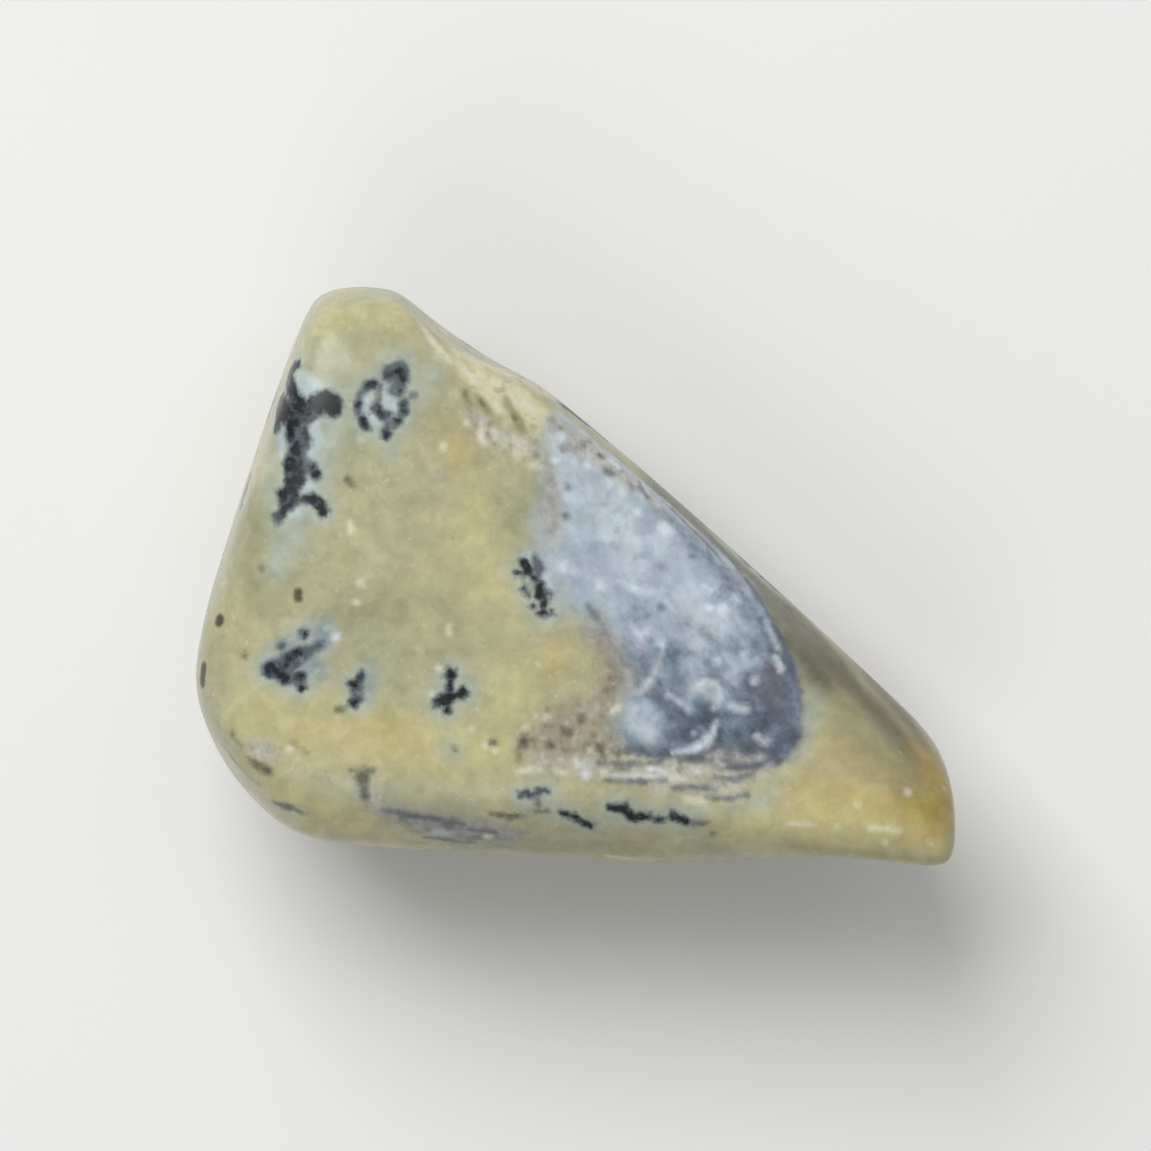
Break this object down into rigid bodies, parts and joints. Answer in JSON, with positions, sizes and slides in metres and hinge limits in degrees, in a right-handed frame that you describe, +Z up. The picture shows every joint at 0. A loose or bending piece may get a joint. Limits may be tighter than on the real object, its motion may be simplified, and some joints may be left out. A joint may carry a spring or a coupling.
{
  "type": "dendritic agate tumbled stone",
  "caption": "Tumbled and polished dendritic agate, a rounded wedge with a shallow blue-grey hollow and black branching marks, resting on a small flat spot.",
  "frame": {"origin": "centre of the stone's outline seen from above, on the plane it rests on", "axes": "+Z up from the flat spot, +X along the stone's length towards its tip, +Y across it towards its rounded knob"},
  "size_m": [0.0304, 0.023, 0.014],
  "materials": {
    "agate": "polished olive-cream chalcedony with black dendrites, a blue-grey translucent patch and pale rough seams"
  },
  "bodies": {
    "root": {"stone": "agate"}
  },
  "joints": []
}
